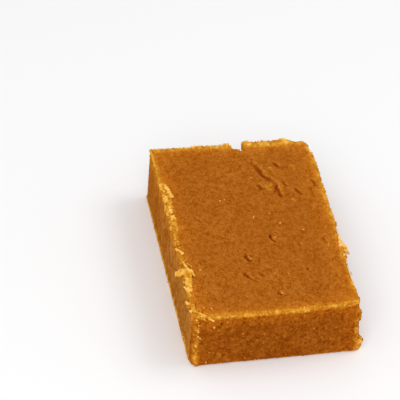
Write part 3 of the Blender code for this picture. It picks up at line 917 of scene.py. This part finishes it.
grainShapes = makeShapes(6, 1, (("uneven", "CLOUDS", 0.4, 0.5),))
grainSpots, grainShares = grainPlacings(block)
grains = copyShapes("looseGrains", grainShapes, grainSpots)
eachCorners = len(grainShapes[0][0])
isBright = np.arange(len(grainSpots)) >= len(grainSpots) - len(brightGrains)
storeTones(grains, np.repeat(grainShares, eachCorners))
storeValue(grains, "relief", np.full(len(grains.data.vertices), looseGrains["relief"]))
storeValue(grains, "peach", np.repeat(isBright, eachCorners))
print("loose grains:", len(grains.data.polygons), "triangles")


# materials

pasteTones = {
    # painted shade for pits and the tears' grooves
    "deep": (0.25, 0.05, 0.003, 1),
    "mid": (0.362, 0.104, 0.0086, 1),
    # the cut faces' tone, darker than the top's as painted shade
    "cut": (0.28, 0.0695, 0.0043, 1),
    # the left side's tone, greyer than the top's, with painted sheen
    "dry": (0.383, 0.134, 0.019, 1),
    # painted highlight, multiplied in on peaks
    "light": (1.14, 1.25, 1.5, 1),
    # painted glow by the rims, multiplied in where light comes through the thin paste
    "glow": (1.42, 1.46, 1.15, 1),
    "rim": (0.55, 0.205, 0.014, 1),
    "pale": (0.7, 0.345, 0.034, 1),
    "cream": (0.93, 0.51, 0.13, 1),
    "peach": (1.0, 0.94, 1.2, 1),
}

# how strongly the grain's brightness changes red, green and blue, in the paste and in its pale parts
grainTint = (0.62, 1.0, 2.0, 1)
paleTint = (0.65, 1.0, 1.8, 1)

# the noises of the grain: scale, detail and roughness, and how places are stretched for them
grainNoises = {
    "broad": (130, 2, 0.6),
    "mottle": (1300, 2, 0.5),
    "speck": (2900, 1, 0.5),
    "drift": (620, 2, 0.5),
    "ridge": (750, 1, 0.5),
    "patches": (950, 2, 0.5),
}
grainStretch = (1.0, 0.8, 1.0)  # a little longer than wide
patchStretch = (1.0, 1.0, 0.35)  # drawn out upright by the knife

# how a value becomes another: its two ends, and what they become
ranges = {
    "broadLight": (0.3, 0.7, -0.05, 0.05),
    "mottleLight": (0.2, 0.8, -0.37, 0.37),
    "speckLight": (0.15, 0.85, -0.48, 0.48),
    "driftLight": (0.3, 0.7, -0.3, 0.3),
    "patchLight": (0.3, 0.7, -1.2, 1.2),
    "evenWherePale": (0.0, 1.0, 1.0, 0.5),
    "unevenBroadly": (0.35, 0.65, 0.75, 1.1),
    "lightStroke": (0.005, 0.045, 0.6, 0.0),
    "darkStroke": (0.005, 0.035, -0.35, 0.0),
    "lightStrokeHere": (0.4, 0.6, 0.0, 1.0),
    "darkStrokeHere": (0.6, 0.4, 0.0, 1.0),
    "peak": (0.0, 0.12, 0.0, 1.0),
    "pit": (-0.05, -0.35, 0.0, 1.0),
    "brokenFinely": (0.3, 0.7, 0.7, 1.3),
    "brokenCoarsely": (0.3, 0.7, 0.5, 1.45),
    "raised": (-0.2, 0.05, 0.4, 1.05),
    "rim": (0.0, 0.5, 0.0, 1.0),
    "pale": (0.5, 1.0, 0.0, 1.0),
    "cream": (1.0, 2.0, 0.0, 1.0),
    "roughness": (0.3, 0.7, 0.5, 0.68),
}

# how strong an effect is all over, and how much stronger on a cut face and on the left side
pasteLooks = {
    "dryUneven": 0.4,
    "drift": 0.22,
    "cutDrift": 0.25,
    "dryDrift": 0.3,
    "strokes": 0.1,
    "cutStrokes": 0.75,
    "patchEnd": 1.1,  # patches fade as the left side's share nears this
    "leastTint": 0.1,
}

# what the corners of a piece carry, and the socket that each feeds
pasteMasks = {"relief": "Relief", "pale": "Paleness", "glow": "Glowing", "cut": "Cutting", "dry": "Drying",
              "peach": "Peachiness"}

# the paste's bump and skin
pasteBump = {"Strength": 0.4, "Distance": 0.08 * mm}
pasteSkin = {
    # no specular reflection: the left side's sheen is painted into its tone
    "Specular IOR Level": 0.0,
    "Subsurface Weight": 0.25,
    "Subsurface Radius": (1.0, 0.45, 0.12),
    "Subsurface Scale": 0.5 * mm,
}


def addSocket(group, name, kind, way, value=None):
    socket = group.interface.new_socket(name=name, in_out=way, socket_type=kind)
    if value is not None:
        socket.default_value = value


def setInputs(node, names, values):
    for name, value in zip(names, values):
        node.inputs[name].default_value = value


def addNode(tree, kind, **settings):
    # the nodes stand in columns of eight, in the order that they are made
    node = tree.nodes.new(kind)
    column, row = divmod(len(tree.nodes), 8)
    node.location = (220 * column, -220 * row)
    for name, value in settings.items():
        setattr(node, name, value)
    return node


def feed(tree, socket, value):
    if isinstance(value, bpy.types.NodeSocket):
        tree.links.new(value, socket)
    else:
        socket.default_value = value


def mixColour(tree, share, first, second, way="MIX"):
    node = addNode(tree, "ShaderNodeMix", data_type="RGBA", blend_type=way)
    for number, value in ((0, share), (6, first), (7, second)):
        feed(tree, node.inputs[number], value)
    return node.outputs[2]


def calculate(tree, operation, *values, kind="ShaderNodeMath"):
    node = addNode(tree, kind, operation=operation)
    for socket, value in zip(node.inputs, values):
        feed(tree, socket, value)
    return node.outputs[0]


def mapRange(tree, name, value):
    node = addNode(tree, "ShaderNodeMapRange", clamp=True)
    tree.links.new(value, node.inputs["Value"])
    setInputs(node, ("From Min", "From Max", "To Min", "To Max"), ranges[name])
    return node.outputs["Result"]


def noiseValue(tree, name, vector):
    node = addNode(tree, "ShaderNodeTexNoise")
    tree.links.new(vector, node.inputs["Vector"])
    setInputs(node, ("Scale", "Detail", "Roughness"), grainNoises[name])
    return node.outputs["Fac"]


def awayFromHalf(tree, value):
    return calculate(tree, "ABSOLUTE", calculate(tree, "SUBTRACT", value, 0.5))


def makePasteGroup():
    group = bpy.data.node_groups.new("milkPaste", "ShaderNodeTree")
    addSocket(group, "Vector", "NodeSocketVector", "INPUT")
    for name in pasteMasks.values():
        addSocket(group, name, "NodeSocketFloat", "INPUT", 0.0)
    addSocket(group, "Mottle", "NodeSocketFloat", "INPUT", 1.0)
    for name, tone in pasteTones.items():
        addSocket(group, name.capitalize(), "NodeSocketColor", "INPUT", tone)
    addSocket(group, "Color", "NodeSocketColor", "OUTPUT")
    for name in ("Roughness", "Height"):
        addSocket(group, name, "NodeSocketFloat", "OUTPUT")
    times, plus, timesPlus = (partial(calculate, group, way) for way in ("MULTIPLY", "ADD", "MULTIPLY_ADD"))
    onVector = partial(calculate, group, kind="ShaderNodeVectorMath")
    ranged, mix = partial(mapRange, group), partial(mixColour, group)
    entry = addNode(group, "NodeGroupInput").outputs
    grainPlace = onVector("MULTIPLY", entry["Vector"], grainStretch)
    patchPlace = onVector("MULTIPLY", entry["Vector"], patchStretch)
    broad, mottle, speck, drift, ridge = (
        noiseValue(group, name, grainPlace) for name in ("broad", "mottle", "speck", "drift", "ridge"))
    patches = noiseValue(group, "patches", patchPlace)
    # brightness: grain of about half a millimetre and specks, most uneven on the left side and least
    # where the paste is pale
    grain = plus(ranged("mottleLight", mottle), ranged("speckLight", speck))
    uneven = timesPlus(entry["Drying"], pasteLooks["dryUneven"], entry["Mottle"])
    uneven = times(uneven, ranged("evenWherePale", entry["Paleness"]))
    grain = times(grain, times(uneven, ranged("unevenBroadly", broad)))
    # drifts of a millimetre or two
    reach = timesPlus(entry["Drying"], pasteLooks["dryDrift"], pasteLooks["drift"])
    reach = timesPlus(entry["Cutting"], pasteLooks["cutDrift"], reach)
    grain = plus(grain, times(ranged("driftLight", drift), reach))
    # patches on the left side, strongest midway along it
    halfDry = calculate(group, "SUBTRACT", pasteLooks["patchEnd"], entry["Drying"])
    halfDry = times(entry["Drying"], halfDry)
    grain = plus(grain, times(halfDry, ranged("patchLight", patches)))
    # thin light and dark strokes, which the knife drew through the grain of the cut faces
    lightStroke = ranged("lightStroke", awayFromHalf(group, ridge))
    darkStroke = ranged("darkStroke", awayFromHalf(group, drift))
    stroke = plus(times(lightStroke, ranged("lightStrokeHere", mottle)),
                  times(darkStroke, ranged("darkStrokeHere", mottle)))
    reach = timesPlus(entry["Cutting"], pasteLooks["cutStrokes"], pasteLooks["strokes"])
    grain = plus(grain, times(stroke, reach))
    light = plus(grain, ranged("broadLight", broad))
    # the paste by its face, with painted shade on the cut faces and painted sheen on the left side, then
    # painted highlight on peaks, the painted glow by the rims, painted shade in pits, and the pale rims
    # themselves
    tone = mix(entry["Cutting"], entry["Mid"], entry["Cut"])
    tone = mix(entry["Drying"], tone, entry["Dry"])
    tone = mix(ranged("peak", entry["Relief"]), tone, entry["Light"], "MULTIPLY")
    # painted glow by the rims
    tone = mix(entry["Glowing"], tone, entry["Glow"], "MULTIPLY")
    tone = mix(ranged("pit", entry["Relief"]), tone, entry["Deep"])
    broken = times(ranged("brokenFinely", mottle), entry["Paleness"])
    broken = times(broken, ranged("brokenCoarsely", drift))
    # paleness fades where the relief dips: painted shade between crumbs and in grooves
    paleness = times(broken, ranged("raised", entry["Relief"]))
    for name in ("rim", "pale", "cream"):
        tone = mix(ranged(name, paleness), tone, entry[name.capitalize()])
    tone = mix(entry["Peachiness"], tone, entry["Peach"], "MULTIPLY")
    # the brightness tints the tone, and never turns it black
    tint = mix(ranged("rim", paleness), grainTint, paleTint)
    tint = onVector("MULTIPLY_ADD", light, tint, (1, 1, 1))
    tint = onVector("MAXIMUM", tint, [pasteLooks["leastTint"]] * 3)
    outcomes = {
        "Color": onVector("MULTIPLY", tone, tint),
        "Roughness": ranged("roughness", mottle),
        "Height": plus(mottle, speck),
    }
    leave = addNode(group, "NodeGroupOutput")
    for name, outcome in outcomes.items():
        group.links.new(outcome, leave.inputs[name])
    return group


pasteGroup = makePasteGroup()


def newMaterial(name, look):
    material = bpy.data.materials.new(name)
    material.use_nodes = True
    shader = material.node_tree.nodes["Principled BSDF"]
    setInputs(shader, look, look.values())
    return material, shader


def makePaste(name, mottle=1.0):
    material, shader = newMaterial(name, pasteSkin)
    tree = material.node_tree
    place = addNode(tree, "ShaderNodeTexCoord")
    paste = addNode(tree, "ShaderNodeGroup", node_tree=pasteGroup)
    tree.links.new(place.outputs["Object"], paste.inputs["Vector"])
    for mask, socket in pasteMasks.items():
        value = addNode(tree, "ShaderNodeAttribute", attribute_name=mask)
        tree.links.new(value.outputs["Fac"], paste.inputs[socket])
    paste.inputs["Mottle"].default_value = mottle
    bump = addNode(tree, "ShaderNodeBump")
    setInputs(bump, pasteBump, pasteBump.values())
    tree.links.new(paste.outputs["Height"], bump.inputs["Height"])
    tree.links.new(bump.outputs["Normal"], shader.inputs["Normal"])
    tree.links.new(paste.outputs["Color"], shader.inputs["Base Color"])
    tree.links.new(paste.outputs["Roughness"], shader.inputs["Roughness"])
    return material


def finishPiece(piece, material):
    pickOnly(piece)
    bpy.ops.object.shade_smooth()
    piece.data.materials.clear()
    piece.data.materials.append(material)
    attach(piece, "root")


finishPiece(block, makePaste("slabPaste"))
finishPiece(torn, makePaste("tornPaste", mottle=0.6))
finishPiece(grains, makePaste("grainPaste", mottle=0.4))
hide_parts("barfi")
print("pieces finished")


# floor and light

studio = {
    "floorSize": 3,
    "floorDrop": 0.02 * mm,
    "floorLook": {"Base Color": (0.88, 0.878, 0.88, 1), "Roughness": 0.8, "Specular IOR Level": 0.2},
    "air": {"Color": (1.0, 1.0, 1.0, 1), "Strength": 0.71},
    "aim": (0, 0, 0.006),
    # place, size and power of each soft light
    "lights": {
        "keyLight": ((0.45, 0.03, 0.6), 0.4, 1.2),
        "fillLight": ((-0.2, -0.5, 0.5), 0.6, 2.4),
    },
}


def addSoftLight(name, place, size, power):
    turn = (Vector(studio["aim"]) - Vector(place)).to_track_quat("-Z", "Y").to_euler()
    deselect()
    bpy.ops.object.light_add(type="AREA", location=place, rotation=turn)
    light = bpy.context.object
    light.name = name
    light.data.shape = "DISK"
    light.data.size = size
    light.data.energy = power


def addStudio():
    deselect()
    bpy.ops.mesh.primitive_plane_add(size=studio["floorSize"], location=(0, 0, -studio["floorDrop"]))
    floor = bpy.context.object
    floor.name = "floor"
    bakePlace()
    floor.data.materials.append(newMaterial("paleFloor", studio["floorLook"])[0])
    for name, settings in studio["lights"].items():
        addSoftLight(name, *settings)
    world = bpy.data.worlds.new("studioAir")
    world.use_nodes = True
    setInputs(world.node_tree.nodes["Background"], studio["air"], studio["air"].values())
    bpy.context.scene.world = world
    bpy.context.scene.view_settings.view_transform = "Standard"
    print("studio lit")


addStudio()
